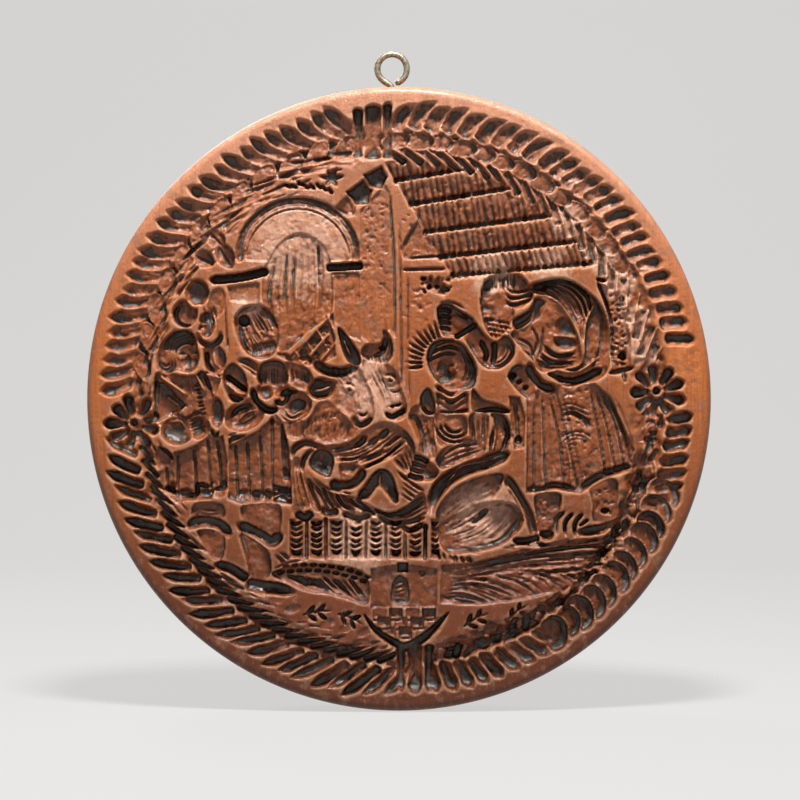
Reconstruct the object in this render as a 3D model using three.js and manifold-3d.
// A round hardwood cookie mould with a carved front face and a wire screw eye in its top edge.
// Millimetres. +Z is up and the eye is at the top. The back face lies in the plane y = 0, the
// carved face looks towards -Y, and the origin is the middle of the back face.
// A cookie is pressed into the hollows, so whatever stands proud on the cookie is deep here.

import * as THREE from 'three';
import { mergeVertices } from 'three/addons/utils/BufferGeometryUtils.js';
import Module from 'manifold-3d';

const wasm = await Module();
wasm.setup();

// Board
const BOARD_DIAMETER = 205;
const BOARD_THICKNESS = 20;
const FRONT_EDGE_ROUND = 2.6;
const BACK_EDGE_ROUND = 1.6;
const BOARD_SEGMENTS = 80;
const EDGE_STEPS = 2;

// Wreath channel, and the leaf cuts along its outer and inner slopes
const PLAIN_MARGIN = 4.6;
const WREATH_WIDTH = 19;
const WREATH_DEPTH = 3.8;
const OUTER_SLOPE_WIDTH = 11.5;
const CHANNEL_FLOOR_WIDTH = 2.5;
const WREATH_TILT = 4;
const OUTER_LEAF_PITCH = 4.9;
const OUTER_LEAF_DEPTH = 1.5;
const OUTER_LEAF_LEAN = 38;
const LEAF_TIP_SETBACK = 2.4;
const INNER_LEAF_DEPTH = 0.8;
const INNER_LEAF_SCALLOP = 1.4;
const ROSETTE_PETALS = 9;
const PETAL_LENGTH = 7.6;
const PETAL_WIDTH = 2.8;
const PETAL_DEPTH = 2.2;
const PETAL_START = 0.8;
const TIE_BARS = 3;
const TIE_BAR_WIDTH = 3.8;
const TIE_BAR_PITCH = 4.5;
const TIE_BAR_DEPTH = 0.9;
const LEAN_EASE_ANGLE = 9;

// The scene is drawn on a field of this radius, and is scaled to the field that the wreath leaves
const DRAWN_FIELD_RADIUS = 78.9;

// Screw eye
const WIRE_DIAMETER = 2.2;
const RING_OUTER_DIAMETER = 12;
const NECK_HEIGHT = 1.1;
const EYE_OFFSET_X = -2.3;
const THREAD_LENGTH = 13;
const PLAIN_SHANK_LENGTH = 2;
const THREAD_PITCH = 1.5;
const THREAD_HEIGHT = 0.34;
const POINT_LENGTH = 2.4;
const TEARDROP_ANGLE = 38;
const WIRE_SIDES = 10;
const THREAD_SIDES = 14;
const THREAD_STEPS_PER_TURN = 6;
const HOLE_CLEARANCE = 0.3;
const HOLE_SPARE_DEPTH = 1;
const HOLE_SIDES = 20;

// Worked out from the sizes above
const boardRadius = BOARD_DIAMETER / 2;
const frontY = -BOARD_THICKNESS;
const wreathOuter = boardRadius - PLAIN_MARGIN;
const wreathInner = wreathOuter - WREATH_WIDTH;
const slopeFoot = wreathOuter - OUTER_SLOPE_WIDTH;
const innerFoot = slopeFoot - CHANNEL_FLOOR_WIDTH;
const sceneScale = wreathInner / DRAWN_FIELD_RADIUS;
const wireRadius = WIRE_DIAMETER / 2;
const ringRadius = RING_OUTER_DIAMETER / 2 - wireRadius;
const eyeY = frontY / 2;
const boardTopZ = Math.sqrt(boardRadius ** 2 - EYE_OFFSET_X ** 2);
const ringCentreZ = boardTopZ + NECK_HEIGHT + RING_OUTER_DIAMETER / 2;
const shankLength = PLAIN_SHANK_LENGTH + THREAD_LENGTH;
const holeRadius = wireRadius + HOLE_CLEARANCE;
const holeDepth = shankLength + HOLE_SPARE_DEPTH;

const radians = THREE.MathUtils.degToRad;

// Closed geometry to a solid, and back

function solid(geometry) {
  const bare = geometry.index ? geometry.toNonIndexed() : geometry.clone();
  bare.deleteAttribute('normal');
  bare.deleteAttribute('uv');
  const merged = mergeVertices(bare, 1e-4);
  const vertProperties = new Float32Array(merged.attributes.position.array);
  const triVerts = new Uint32Array(withoutSlivers(merged.index.array));
  return new wasm.Manifold(new wasm.Mesh({ numProp: 3, vertProperties, triVerts }));
}

function withoutSlivers(index) {
  const kept = [];
  for (let i = 0; i < index.length; i += 3) {
    const [a, b, c] = [index[i], index[i + 1], index[i + 2]];
    if (a !== b && b !== c && c !== a) kept.push(a, b, c);
  }
  return kept;
}

function meshOf(body, name, material) {
  const { vertProperties, triVerts } = body.getMesh();
  const geometry = new THREE.BufferGeometry();
  geometry.setAttribute('position', new THREE.BufferAttribute(vertProperties, 3));
  geometry.setIndex(new THREE.BufferAttribute(triVerts, 1));
  geometry.computeVertexNormals();
  const mesh = new THREE.Mesh(geometry, material);
  mesh.name = name;
  return mesh;
}

function joined(solids) {
  return wasm.Manifold.union(solids);
}

// Board blank: a disc about the Y axis with both edges rounded

function boardBlank() {
  const profile = [new THREE.Vector2(0, frontY)];
  for (let i = 0; i <= EDGE_STEPS; i++) {
    const turn = (i / EDGE_STEPS) * Math.PI / 2;
    profile.push(new THREE.Vector2(
      boardRadius - FRONT_EDGE_ROUND * (1 - Math.sin(turn)),
      frontY + FRONT_EDGE_ROUND * (1 - Math.cos(turn)),
    ));
  }
  for (let i = 0; i <= EDGE_STEPS; i++) {
    const turn = (i / EDGE_STEPS) * Math.PI / 2;
    profile.push(new THREE.Vector2(
      boardRadius - BACK_EDGE_ROUND * (1 - Math.cos(turn)),
      -BACK_EDGE_ROUND * (1 - Math.sin(turn)),
    ));
  }
  profile.push(new THREE.Vector2(0, 0));
  return solid(new THREE.LatheGeometry(profile, BOARD_SEGMENTS));
}

// Pilot hole for the screw eye, drilled down from the top edge, with a conical drill point

function pilotHole() {
  const profile = [
    new THREE.Vector2(0, boardTopZ - holeDepth - holeRadius * 0.6),
    new THREE.Vector2(holeRadius, boardTopZ - holeDepth),
    new THREE.Vector2(holeRadius, boardTopZ + NECK_HEIGHT),
    new THREE.Vector2(0, boardTopZ + NECK_HEIGHT),
  ];
  const hole = new THREE.LatheGeometry(profile, HOLE_SIDES);
  hole.rotateX(Math.PI / 2);
  hole.translate(EYE_OFFSET_X, eyeY, 0);
  return solid(hole);
}

// Cutting tools. Places are x and z on the front face, and turns are anticlockwise as seen there.

// A round-bottomed gouge cut: half of an ellipsoid, with its middle that far below the front face.
// Two rings make it a plain chip cut, which meets in one point at the bottom.
function gouge({ x, z, length, width, deep, turn = 0, below = 0, sides = 8, rings = 4 }) {
  const cut = new THREE.SphereGeometry(1, sides, rings);
  cut.scale(length / 2, deep, width / 2);
  cut.rotateY(-radians(turn));
  cut.translate(x, frontY + below, z);
  return solid(cut);
}

// A bowl in the scene, in drawn millimetres
function bowl(x, z, halfWide, halfHigh, deep, turn = 0) {
  return gouge({
    x: x * sceneScale,
    z: z * sceneScale,
    length: 2 * halfWide * sceneScale,
    width: 2 * halfHigh * sceneScale,
    deep,
    turn,
    sides: 10,
  });
}

// A pocket with upright walls and a flat or sloping floor. The outline is in drawn millimetres,
// and depthAt gives the depth below the front face at a point of it.
function pocket(outline, depthAt) {
  const shape = new THREE.Shape(outline.map(([x, z]) => new THREE.Vector2(x * sceneScale, z * sceneScale)));
  const cut = new THREE.ExtrudeGeometry(shape, { depth: 1, bevelEnabled: false });
  const position = cut.attributes.position;
  for (let i = 0; i < position.count; i++) {
    const [x, z, level] = [position.getX(i), position.getY(i), position.getZ(i)];
    const y = level > 0.5 ? frontY - 1 : frontY + depthAt(x / sceneScale, z / sceneScale);
    position.setXYZ(i, x, y, z);
  }
  return solid(cut);
}

// The point at an angle in degrees round a middle
function polar(radius, degrees, x = 0, z = 0) {
  return [x + radius * Math.cos(radians(degrees)), z + radius * Math.sin(radians(degrees))];
}

// Points along a round arc, from one angle to another in degrees
function arc(x, z, radius, from, to, steps) {
  const points = [];
  for (let i = 0; i <= steps; i++) points.push(polar(radius, from + (to - from) * i / steps, x, z));
  return points;
}

// A row of flutes side by side that widens from top to bottom: the pleats of a skirt or robe
function flutes(count, top, bottom, deep) {
  const cuts = [];
  for (let i = 0; i < count; i++) {
    const across = (i + 0.5) / count - 0.5;
    const [topX, bottomX] = [top.x + across * top.width, bottom.x + across * bottom.width];
    const [dx, dz] = [bottomX - topX, bottom.z - top.z];
    cuts.push(gouge({
      x: (topX + bottomX) / 2 * sceneScale,
      z: (top.z + bottom.z) / 2 * sceneScale,
      length: Math.hypot(dx, dz) * 1.06 * sceneScale,
      width: (top.width + bottom.width) / 2 / count * 1.1 * sceneScale,
      deep,
      turn: THREE.MathUtils.radToDeg(Math.atan2(dz, dx)),
      sides: 6,
    }));
  }
  return cuts;
}

// Wreath

// The channel is a ring whose slopes are waved into leaves. Every other column of its outer slope is
// a leaf's valley, which runs out to a pointed tip, and every fourth column of its inner slope is
// the middle of a rounder leaf. The outer leaves lean towards the tie at the top or the bottom.
function wreathChannel() {
  const above = 1;
  const floorY = frontY + WREATH_DEPTH;
  const profile = [
    new THREE.Vector2(wreathInner, frontY - above),
    new THREE.Vector2(wreathOuter, frontY - above),
    new THREE.Vector2(wreathOuter, frontY),
    new THREE.Vector2((wreathOuter + slopeFoot) / 2, (frontY + floorY) / 2),
    new THREE.Vector2(slopeFoot, floorY),
    new THREE.Vector2(innerFoot, floorY),
    new THREE.Vector2(wreathInner, frontY),
    new THREE.Vector2(wreathInner, frontY - above),
  ];
  const leafPairs = Math.round(Math.PI * (wreathOuter + slopeFoot) / 2 / OUTER_LEAF_PITCH);
  const columns = 4 * leafPairs;
  const channel = new THREE.LatheGeometry(profile, columns);
  const position = channel.attributes.position;
  for (let column = 0; column <= columns; column++) {
    const angle = 90 - 360 * (column % columns) / columns;
    const outer = column % 2;
    const inner = 0.5 - 0.5 * Math.cos(Math.PI * column / 2);
    profile.forEach((point, level) => {
      const [radius, y] = leafPoint(point, level, outer, inner);
      const run = Math.max(0, wreathOuter - Math.max(radius, slopeFoot));
      const swing = run * Math.tan(radians(leanAt(angle))) / radius;
      const turned = radians(angle + WREATH_TILT) + swing;
      position.setXYZ(column * profile.length + level, radius * Math.cos(turned), y, radius * Math.sin(turned));
    });
  }
  return solid(channel);
}

// Where a point of the channel's profile lies: outer and inner say how far it is in a leaf, 0 to 1
function leafPoint(point, level, outer, inner) {
  const [lipAbove, lip, middle, foot, inFoot] = [1, 2, 3, 4, 5];
  if (level === lip || level === lipAbove) return [point.x - LEAF_TIP_SETBACK * (1 - outer), point.y];
  if (level === middle) return [point.x, point.y + OUTER_LEAF_DEPTH * (outer - 0.4)];
  if (level === foot) return [point.x, point.y + OUTER_LEAF_DEPTH * 0.5 * outer];
  if (level === inFoot) return [point.x, point.y + INNER_LEAF_DEPTH * inner];
  return [point.x - INNER_LEAF_SCALLOP * inner, point.y];
}

// The leaves' lean in degrees at an angle round the ring, eased to nothing at ties and rosettes
function leanAt(angle) {
  const quarter = ((angle % 90) + 90) % 90;
  const toEnd = Math.min(quarter, 90 - quarter);
  const ease = Math.min(1, toEnd / LEAN_EASE_ANGLE);
  const towardsTie = Math.sign(Math.cos(radians(angle)) * Math.sin(radians(angle)));
  return OUTER_LEAF_LEAN * ease * towardsTie;
}

// A daisy over the channel at each side
function rosettes() {
  const cuts = [];
  const radius = (wreathOuter + wreathInner) / 2 - 1;
  for (const side of [0, 180]) {
    const middle = polar(radius, side + WREATH_TILT);
    for (let i = 0; i < ROSETTE_PETALS; i++) {
      const turn = 360 * (i + 0.5) / ROSETTE_PETALS;
      const [x, z] = polar(PETAL_LENGTH / 2 + PETAL_START, turn, ...middle);
      cuts.push(gouge({
        x,
        z,
        length: PETAL_LENGTH,
        width: PETAL_WIDTH,
        deep: PETAL_DEPTH,
        turn,
        below: WREATH_DEPTH / 2,
        sides: 6,
        rings: 2,
      }));
    }
  }
  return cuts;
}

// Three round-ended troughs side by side across the channel, at the top and at the bottom
function ties() {
  const cuts = [];
  const radius = (wreathOuter + wreathInner) / 2;
  const reach = WREATH_WIDTH / 2 - TIE_BAR_WIDTH / 2;
  for (const end of [90, 270]) {
    for (let i = 0; i < TIE_BARS; i++) {
      const off = (i - (TIE_BARS - 1) / 2) * TIE_BAR_PITCH / radius;
      const [x, z] = polar(radius, end + WREATH_TILT + THREE.MathUtils.radToDeg(off));
      const bar = new THREE.CapsuleGeometry(TIE_BAR_WIDTH / 2, 2 * reach, 2, 8);
      bar.rotateZ(-Math.PI / 2);
      bar.scale(1, 2 * (WREATH_DEPTH + TIE_BAR_DEPTH) / TIE_BAR_WIDTH, 1);
      bar.rotateY(-radians(end + WREATH_TILT));
      bar.translate(x, frontY, z);
      cuts.push(solid(bar));
    }
  }
  return cuts;
}

// Scene, from the back of the picture to the front. All places are in drawn millimetres.

function star() {
  const cuts = [];
  for (let i = 0; i < 4; i++) {
    cuts.push(bowl(-22, 72, 4.6, 0.9, 1.6, 45 * i + 10));
  }
  return cuts;
}

function archway() {
  const outside = arc(-33.3, 45, 20.4, 0, 180, 18);
  const inside = arc(-33.3, 45, 17.2, 180, 0, 18);
  return [
    pocket([...outside, ...inside], () => 1.2),
    pocket([[-62.6, 37.6], [-42.2, 41.6], [-42.4, 43.6], [-62.4, 39.8]], () => 6),
    pocket([[-24.7, 41.4], [-12.2, 41.8], [-12.2, 44.6], [-24.7, 44.2]], () => 6),
  ];
}

function doorCurtain() {
  return flutes(5, { x: -32.6, z: 55, width: 19 }, { x: -36.4, z: 20, width: 13 }, 1.6);
}

function basket() {
  const cuts = [];
  for (let row = 0; row < 3; row++) {
    for (let column = 0; column < 2; column++) {
      cuts.push(bowl(-29.6 + 5.8 * column, 26 - 5 * row, 2.6, 1.5, 1.6, 40));
    }
  }
  return cuts;
}

function pillar() {
  return [
    pocket([[-13, 74], [-7, 76.4], [-1.4, 44], [-0.4, 12.6], [-11.6, 18.6]], () => 1.2),
    pocket([[0.2, 44], [1.3, 44], [2, 9], [0.9, 9]], () => 1.4),
  ];
}

function gable() {
  return [pocket([[-2.2, 59], [13.8, 42.6], [-0.6, 42.4]], (x) => 1.6 + 0.05 * (x + 2.2))];
}

// Four courses of shingles. Each is cut deepest along its lower edge.
function roof() {
  const lowerEdges = [
    { left: [1.2, 70.6], right: [20.5, 73.4] },
    { left: [5.2, 62], right: [37.4, 67.2] },
    { left: [10, 53], right: [50, 57.9] },
    { left: [15, 44.2], right: [59.4, 49.7] },
  ];
  const upperEdges = [
    { left: [-3.4, 76.6], right: [9.4, 77.2] },
    { left: [2.2, 69.4], right: [25.5, 73] },
    { left: [6, 60.8], right: [40.4, 65.9] },
    { left: [10.8, 51.8], right: [52.4, 56.7] },
  ];
  return lowerEdges.map((lower, i) => {
    const upper = upperEdges[i];
    const fall = upper.left[1] - lower.left[1];
    const rise = (lower.right[1] - lower.left[1]) / (lower.right[0] - lower.left[0]);
    const depthAt = (x, z) => {
      const aboveLower = z - lower.left[1] - rise * (x - lower.left[0]);
      return 3.4 - 2.4 * Math.min(1, Math.max(0, aboveLower / fall));
    };
    return pocket([lower.left, lower.right, upper.right, upper.left], depthAt);
  });
}

function onlooker() {
  return [
    bowl(-66, 35, 4.2, 4.6, 2.4),
    bowl(-70.6, 28.2, 3, 4.8, 2.4, -25),
    bowl(-65.2, 26.6, 3.6, 4.2, 3),
    bowl(-62.6, 20.8, 2.6, 2.2, 2.2),
  ];
}

function firstShepherd() {
  return [
    bowl(-72.4, 15.2, 6, 7, 5),
    bowl(-71, -2.6, 8, 11, 5.4),
    bowl(-69.6, -10, 7.4, 4, 5),
    ...flutes(5, { x: -69, z: -16.4, width: 18 }, { x: -67.4, z: -33.6, width: 20.6 }, 4),
    bowl(-62.8, -36.8, 4.6, 3, 2.6),
    bowl(-62.4, -42, 7.2, 2.6, 3.4, 6),
    bowl(-61.8, -48.6, 4, 5, 3),
    bowl(-54.6, -57.4, 6, 2.6, 3, -14),
  ];
}

function secondShepherd() {
  return [
    bowl(-47.2, 25, 6.6, 6.8, 5),
    bowl(-45.6, 17.6, 5, 5.6, 4.6),
    bowl(-51.6, 2.4, 6.4, 9.2, 5, -12),
    bowl(-41.2, 2, 5.4, 3.8, 4.2, 20),
    bowl(-34.8, -2.6, 6, 4, 4.4, -20),
    bowl(-44.6, -5, 3.4, 2.8, 3.6),
    ...flutes(5, { x: -46, z: -9, width: 18.4 }, { x: -45.4, z: -34.4, width: 20.6 }, 4.4),
    bowl(-45.8, -43, 7.2, 3, 3.6, -6),
    bowl(-46.6, -52.6, 4.2, 6.6, 3),
    bowl(-42.6, -62, 8, 2.2, 3, -8),
  ];
}

function oxAndDonkey() {
  return [
    bowl(-15.6, 3.4, 5.6, 6.6, 5, 10),
    bowl(-14.2, -5.4, 4.4, 5, 5.4),
    bowl(-22.4, 8.6, 3.6, 1.6, 3, 22),
    bowl(-19.8, 14.8, 1.5, 5, 3.4, 52),
    bowl(-9.6, 12.4, 1.4, 3.8, 3, -40),
    bowl(-3.6, 3.6, 4.8, 6.6, 5, -8),
    bowl(-3, -5, 3.6, 4.6, 5),
    bowl(-5.6, 12.6, 1.4, 3.4, 3, 20),
    bowl(1.4, 10.6, 1.4, 3.6, 3, -44),
  ];
}

function child() {
  return [
    bowl(-27.8, -19.2, 7, 5.8, 2.4),
    bowl(-25.4, -20.6, 3.9, 3.8, 4.6),
    bowl(-15.6, -26.6, 8.4, 4, 4.6, -14),
    bowl(-5.6, -31.4, 6, 3, 4, -22),
    bowl(1.6, -25, 6.8, 2.8, 3.6, -48),
    bowl(-4, -35.4, 9, 1.6, 3, 6),
    bowl(-29, -30.6, 6.4, 2.6, 3.2, -62),
  ];
}

function kneelingMother() {
  const rays = [];
  for (let i = 0; i < 5; i++) {
    rays.push(bowl(8.6 + 1.6 * i, 15.6 + 3 * i, 3, 0.7, 1.4, 168 - 16 * i));
  }
  return [
    ...rays,
    bowl(18, 11.4, 7.4, 8, 5),
    bowl(17.4, -0.4, 5.6, 4, 4.4),
    bowl(18, -9.8, 5.4, 6, 5),
    bowl(11.2, -17.4, 6.2, 3, 4.4, 34),
    bowl(6.6, -23, 4, 3.2, 4),
    bowl(29, -10.6, 7.2, 8.8, 4.6),
    bowl(23.6, -20.8, 12.4, 2.4, 4.4, 18),
    bowl(12.6, -29, 8, 2.6, 4.4, 62),
    bowl(26.6, -37.4, 14, 12, 5.4),
    bowl(18.6, 25, 6.4, 2.6, 2.8, 34),
  ];
}

function standingMan() {
  return [
    bowl(33, 30.4, 6.4, 8.2, 5),
    bowl(38.6, 36, 6.6, 4.6, 4.4, -12),
    bowl(32.6, 16.6, 5.6, 7, 4.6),
    bowl(46.4, 19.4, 8.4, 8.6, 5.4),
    bowl(53, 33, 12, 5, 4.4, -22),
    bowl(65, 21.6, 3.8, 12, 4.4, 10),
    bowl(59, 9.4, 10.4, 3, 4, 8),
    bowl(41, 5.4, 4.6, 4.2, 4),
    ...flutes(6, { x: 54, z: 4.6, width: 20 }, { x: 59.4, z: -30.8, width: 34 }, 5),
    bowl(48.6, -38.6, 4, 7.8, 3),
    bowl(67.2, -34.4, 4.2, 6.6, 3),
    bowl(65.6, -42, 7.4, 2.6, 3.4, -6),
    bowl(42.4, -46, 4.8, 1.9, 3, 8),
  ];
}

// The crib is a row of troughs with thin walls of bare wood between them
function crib() {
  const cuts = [];
  const [left, right, top, bottom] = [-36.2, 14.2, -38.4, -53];
  const troughs = 8;
  const wall = 2;
  const trough = (right - left - wall * (troughs - 1)) / troughs;
  for (let i = 0; i < troughs; i++) {
    const x = left + (trough + wall) * i;
    const outline = [[x, bottom], [x + trough, bottom], [x + trough, top], [x, top]];
    cuts.push(pocket(outline, (_, z) => 3.2 + 0.03 * (z - bottom)));
  }
  return cuts;
}

function ground() {
  const cuts = [
    bowl(-27, -60.6, 15, 4.6, 2.2, -8),
    bowl(1.2, -76, 14, 3.4, 3.4, 2),
    pocket([[-9.6, -55.4], [12.2, -55.4], [10.6, -70.6], [-7.4, -70.6]], () => 2.4),
  ];
  for (let i = 0; i < 6; i++) {
    cuts.push(bowl(44 - 2.2 * i, -52.4 - 3 * i, 27 - 3 * i, 1.3, 2, 8 + 4 * i));
  }
  return cuts;
}

// Small leaf sprigs on the bare ground at the foot of the picture
function sprigs() {
  const cuts = [];
  const [halfLength, halfWidth, deep] = [2.4, 0.9, 1.6];
  for (const stem of [[-27, -74.6], [26, -75.2], [35.6, -71.6]]) {
    for (const turn of [40, 90, 140]) {
      const [x, z] = polar(halfLength, turn, ...stem);
      cuts.push(bowl(x, z, halfLength, halfWidth, deep, turn));
    }
  }
  return cuts;
}

function mouldBoard() {
  const cuts = [
    pilotHole(),
    wreathChannel(),
    ...rosettes(),
    ...ties(),
    ...star(),
    ...archway(),
    ...doorCurtain(),
    ...basket(),
    ...pillar(),
    ...gable(),
    ...roof(),
    ...onlooker(),
    ...firstShepherd(),
    ...secondShepherd(),
    ...oxAndDonkey(),
    ...child(),
    ...kneelingMother(),
    ...standingMan(),
    ...crib(),
    ...ground(),
    ...sprigs(),
  ];
  return boardBlank().subtract(joined(cuts));
}

// Screw eye: a ring of wire drawn in to a point at the bottom, where it turns down into the shank

// The middle of the wire, from its cut end beside the neck, round the ring and down to the neck
function ringPath() {
  const points = [];
  const half = radians(TEARDROP_ANGLE);
  const arcSteps = 28;
  const first = -Math.PI / 2 + half;
  const sweep = 2 * Math.PI - 2 * half;
  const meet = ringCentreZ - ringRadius / Math.cos(half);
  points.push(new THREE.Vector3(EYE_OFFSET_X + wireRadius * 0.9, eyeY, meet + wireRadius * 0.9));
  for (let i = 0; i <= arcSteps; i++) {
    const angle = first + sweep * i / arcSteps;
    points.push(new THREE.Vector3(
      EYE_OFFSET_X + ringRadius * Math.cos(angle),
      eyeY,
      ringCentreZ + ringRadius * Math.sin(angle),
    ));
  }
  points.push(new THREE.Vector3(EYE_OFFSET_X - wireRadius * 0.5, eyeY, meet + wireRadius * 0.5));
  points.push(new THREE.Vector3(EYE_OFFSET_X, eyeY, meet - wireRadius * 0.8));
  return new THREE.CatmullRomCurve3(points, false, 'centripetal');
}

function wireSection() {
  const section = new THREE.Shape();
  for (let i = 0; i < WIRE_SIDES; i++) {
    const angle = 2 * Math.PI * i / WIRE_SIDES;
    const [x, y] = [wireRadius * Math.cos(angle), wireRadius * Math.sin(angle)];
    if (i === 0) section.moveTo(x, y);
    else section.lineTo(x, y);
  }
  return section;
}

// The shank is turned about Y and then stood along Z. Its thread is cut into the wire, so its
// crests are no wider than the wire, and it runs out at the plain neck and at the point.
function shank() {
  const top = boardTopZ + NECK_HEIGHT;
  const threadTop = boardTopZ - PLAIN_SHANK_LENGTH;
  const tip = threadTop - THREAD_LENGTH;
  const stepHeight = THREAD_PITCH / THREAD_STEPS_PER_TURN;
  const steps = Math.ceil((threadTop - tip) / stepHeight);
  const profile = [new THREE.Vector2(0, tip)];
  for (let i = 1; i <= steps; i++) {
    profile.push(new THREE.Vector2(wireRadius, tip + (threadTop - tip) * i / steps));
  }
  profile.push(new THREE.Vector2(wireRadius, top), new THREE.Vector2(0, top));
  const turned = new THREE.LatheGeometry(profile, THREAD_SIDES);
  const position = turned.attributes.position;
  for (let i = 0; i < position.count; i++) {
    const [x, height, z] = [position.getX(i), position.getY(i), position.getZ(i)];
    if (height >= threadTop - 1e-6 || Math.hypot(x, z) < 1e-6) continue;
    const angle = Math.atan2(z, x);
    const phase = height / THREAD_PITCH + angle / (2 * Math.PI);
    const wave = 0.5 - 0.5 * Math.cos(2 * Math.PI * phase);
    const runOut = Math.min(1, (threadTop - height) / THREAD_PITCH);
    const taper = Math.min(1, (height - tip) / POINT_LENGTH) ** 0.8;
    const scale = taper * (1 - wave * runOut * THREAD_HEIGHT / wireRadius);
    position.setXYZ(i, x * scale, height, z * scale);
  }
  turned.rotateX(Math.PI / 2);
  turned.translate(EYE_OFFSET_X, eyeY, 0);
  return solid(turned);
}

function screwEye() {
  const ring = new THREE.ExtrudeGeometry(wireSection(), {
    steps: 44,
    bevelEnabled: false,
    extrudePath: ringPath(),
  });
  return solid(ring).add(shank());
}

const wood = new THREE.MeshStandardMaterial({ color: 0x7a4526, roughness: 0.5, metalness: 0 });
const agedSteel = new THREE.MeshStandardMaterial({ color: 0x8a8272, roughness: 0.45, metalness: 0.9 });

const cookieMould = new THREE.Group();
cookieMould.add(meshOf(mouldBoard(), 'mould_board', wood));
cookieMould.add(meshOf(screwEye(), 'screw_eye', agedSteel));

export default cookieMould;
